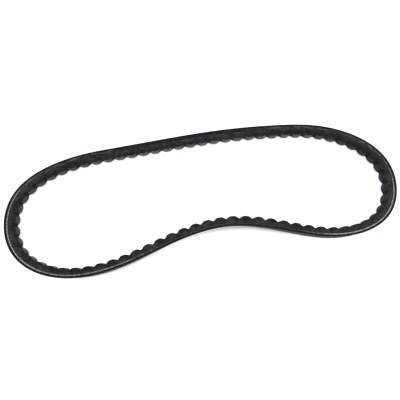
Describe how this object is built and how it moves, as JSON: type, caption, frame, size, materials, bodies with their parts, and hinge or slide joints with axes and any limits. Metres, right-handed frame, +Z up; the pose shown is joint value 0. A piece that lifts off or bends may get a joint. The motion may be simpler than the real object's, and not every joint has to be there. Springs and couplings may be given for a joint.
{
  "type": "v belt",
  "caption": "Raw-edge cogged V-belt lying on its edge as a loose bean-shaped loop; its flanks wedge into pulley grooves to carry power between shafts.",
  "frame": {"origin": "middle of the loop's box, on the surface that the belt's lower edge lies on", "axes": "+Z up, square to the plane of the loop; +X along the length of the loop, to the right in the picture; +Y towards the far side"},
  "size_m": [0.311, 0.1248, 0.013],
  "materials": {
    "backing_fabric": "rubberised black canvas",
    "overcord_rubber": "cut rubber, matt",
    "cushion_gum": "cut gum rubber, matt",
    "tensile_cord": "twisted polyester yarn, pale",
    "undercord_rubber": "ground fibre-filled rubber, matt",
    "cog_fabric": "rubberised knit, slight sheen"
  },
  "bodies": {
    "root": {"backing_fabric": "backing_fabric", "overcord_rubber": "overcord_rubber", "upper_cushion_gum": "cushion_gum", "tensile_cord": "tensile_cord", "lower_cushion_gum": "cushion_gum", "undercord_rubber": "undercord_rubber", "cog_fabric": "cog_fabric"}
  },
  "joints": []
}
